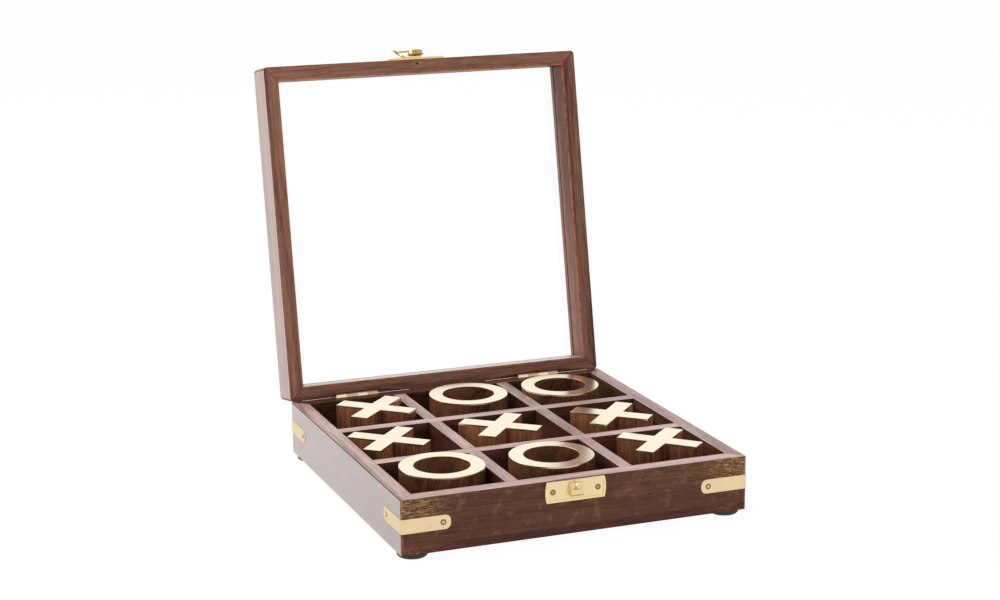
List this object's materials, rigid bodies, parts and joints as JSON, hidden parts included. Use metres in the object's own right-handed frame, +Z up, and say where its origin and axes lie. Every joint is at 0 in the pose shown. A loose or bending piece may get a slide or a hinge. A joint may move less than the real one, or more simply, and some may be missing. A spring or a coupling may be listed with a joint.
{
  "type": "tic-tac-toe box",
  "caption": "Square hardwood game box with a hinged glass lid, a swing-hook latch, brass corner straps and loose ring and cross pieces with brass faces, each in its own cell.",
  "frame": {"origin": "middle of the open box's footprint, lid and latch included, on the plane its four feet stand on", "axes": "+Z up, +Y from the latch side to the hinge side, +X to the right seen from the latch side"},
  "size_m": [0.2018, 0.2696, 0.2352],
  "materials": {
    "box_wood": "oiled satin",
    "lid_wood": "oiled satin",
    "divider_wood": "oiled satin",
    "piece_wood": "satin",
    "brass_hardware": "polished",
    "brass_face": "polished",
    "rubber_feet": "matte",
    "lid_glass": "clear"
  },
  "bodies": {
    "box": {"base_board": "box_wood", "wall_front": "box_wood", "wall_right": "box_wood", "wall_rear": "box_wood", "wall_left": "box_wood", "divider_across_front": "divider_wood", "divider_across_rear": "divider_wood", "divider_along_left": "divider_wood", "divider_along_right": "divider_wood", "foot_front_left": "rubber_feet", "foot_front_right": "rubber_feet", "foot_rear_right": "rubber_feet", "foot_rear_left": "rubber_feet", "corner_strap_front_left": "brass_hardware", "corner_strap_front_right": "brass_hardware", "corner_strap_rear_right": "brass_hardware", "corner_strap_rear_left": "brass_hardware", "strap_pins": "brass_hardware", "keeper_plate": "brass_hardware", "keeper_pins": "brass_hardware", "catch_block": "brass_hardware", "ball_stud": "brass_hardware", "box_hinge_leaf_left": "brass_hardware", "box_hinge_leaf_right": "brass_hardware", "box_hinge_screws": "brass_hardware", "hinge_pins": "brass_hardware"},
    "lid": {"lid_rail_front": "lid_wood", "lid_rail_right": "lid_wood", "lid_rail_rear": "lid_wood", "lid_rail_left": "lid_wood", "glass_pane": "lid_glass", "lid_hinge_leaf_left": "brass_hardware", "lid_hinge_leaf_right": "brass_hardware", "lid_hinge_screws": "brass_hardware", "latch_plate": "brass_hardware", "latch_plate_pins": "brass_hardware", "latch_post": "brass_hardware"},
    "hook": {"latch_hook": "brass_hardware", "latch_knob": "brass_hardware"},
    "cross_rear_left": {"cross_rear_left_body": "piece_wood", "cross_rear_left_face": "brass_face"},
    "ring_rear_middle": {"ring_rear_middle_body": "piece_wood", "ring_rear_middle_face": "brass_face"},
    "ring_rear_right": {"ring_rear_right_body": "piece_wood", "ring_rear_right_face": "brass_face"},
    "cross_middle_left": {"cross_middle_left_body": "piece_wood", "cross_middle_left_face": "brass_face"},
    "cross_centre": {"cross_centre_body": "piece_wood", "cross_centre_face": "brass_face"},
    "cross_middle_right": {"cross_middle_right_body": "piece_wood", "cross_middle_right_face": "brass_face"},
    "ring_front_left": {"ring_front_left_body": "piece_wood", "ring_front_left_face": "brass_face"},
    "ring_front_middle": {"ring_front_middle_body": "piece_wood", "ring_front_middle_face": "brass_face"},
    "cross_front_right": {"cross_front_right_body": "piece_wood", "cross_front_right_face": "brass_face"}
  },
  "joints": [
    {"name": "lid_hinge", "type": "hinge", "parent": "box", "child": "lid", "pos_m": [0, 0.07273, 0.0327], "axis": [-1, 0, 0], "range_deg": [-100.9, 0]},
    {"name": "hook_swing", "type": "hinge", "parent": "lid", "child": "hook", "pos_m": [-0.0022, 0.11755, 0.22815], "axis": [0, -0.1891, -0.982], "range_deg": [-90, 0]},
    {"name": "cross_rear_left_lift", "type": "slide", "parent": "box", "child": "cross_rear_left", "axis": [0, 0, 1], "range_m": [0, 0.035]},
    {"name": "ring_rear_middle_lift", "type": "slide", "parent": "box", "child": "ring_rear_middle", "axis": [0, 0, 1], "range_m": [0, 0.035]},
    {"name": "ring_rear_right_lift", "type": "slide", "parent": "box", "child": "ring_rear_right", "axis": [0, 0, 1], "range_m": [0, 0.035]},
    {"name": "cross_middle_left_lift", "type": "slide", "parent": "box", "child": "cross_middle_left", "axis": [0, 0, 1], "range_m": [0, 0.035]},
    {"name": "cross_centre_lift", "type": "slide", "parent": "box", "child": "cross_centre", "axis": [0, 0, 1], "range_m": [0, 0.035]},
    {"name": "cross_middle_right_lift", "type": "slide", "parent": "box", "child": "cross_middle_right", "axis": [0, 0, 1], "range_m": [0, 0.035]},
    {"name": "ring_front_left_lift", "type": "slide", "parent": "box", "child": "ring_front_left", "axis": [0, 0, 1], "range_m": [0, 0.035]},
    {"name": "ring_front_middle_lift", "type": "slide", "parent": "box", "child": "ring_front_middle", "axis": [0, 0, 1], "range_m": [0, 0.035]},
    {"name": "cross_front_right_lift", "type": "slide", "parent": "box", "child": "cross_front_right", "axis": [0, 0, 1], "range_m": [0, 0.035]}
  ]
}
